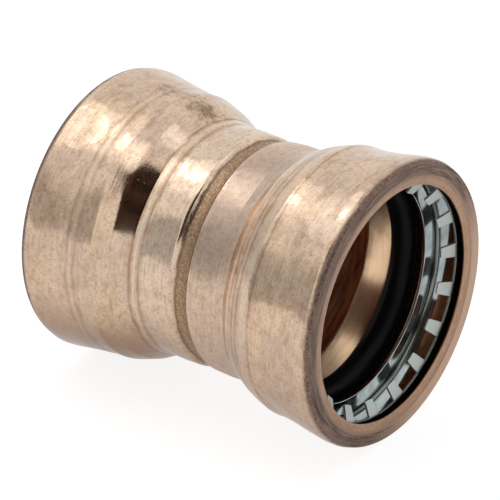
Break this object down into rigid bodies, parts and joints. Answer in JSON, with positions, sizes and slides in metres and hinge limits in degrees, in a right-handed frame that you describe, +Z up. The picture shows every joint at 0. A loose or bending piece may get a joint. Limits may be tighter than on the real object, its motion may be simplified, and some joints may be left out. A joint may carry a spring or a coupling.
{
  "type": "push-fit straight coupling",
  "caption": "Copper push-fit coupling that joins two pipes of one size in line, with toothed grab rings, support rings and O-ring seals in both sockets.",
  "frame": {"origin": "the point of the floor under the coupling's middle, as it lies on its side", "axes": "+X along the bore, out of the front socket; +Z up"},
  "size_m": [0.0436, 0.0364, 0.0365],
  "materials": {
    "copper": "drawn copper, semi-gloss, finely brushed round the axis",
    "grab_steel": "satin stainless spring sheet",
    "support_steel": "bright pressed stainless",
    "seal_rubber": "lubricated black rubber, soft sheen"
  },
  "bodies": {
    "shell": {"body": "copper", "front_support_ring": "support_steel", "front_o_ring": "seal_rubber", "rear_support_ring": "support_steel", "rear_o_ring": "seal_rubber"},
    "front_grip": {"front_grab_ring": "grab_steel"},
    "rear_grip": {"rear_grab_ring": "grab_steel"}
  },
  "joints": [
    {"name": "front_grip_spin", "type": "hinge", "parent": "shell", "child": "front_grip", "pos_m": [0.0199, 0, 0.01825], "axis": [1, 0, 0], "continuous": true},
    {"name": "rear_grip_spin", "type": "hinge", "parent": "shell", "child": "rear_grip", "pos_m": [-0.0199, 0, 0.01825], "axis": [1, 0, 0], "continuous": true}
  ]
}
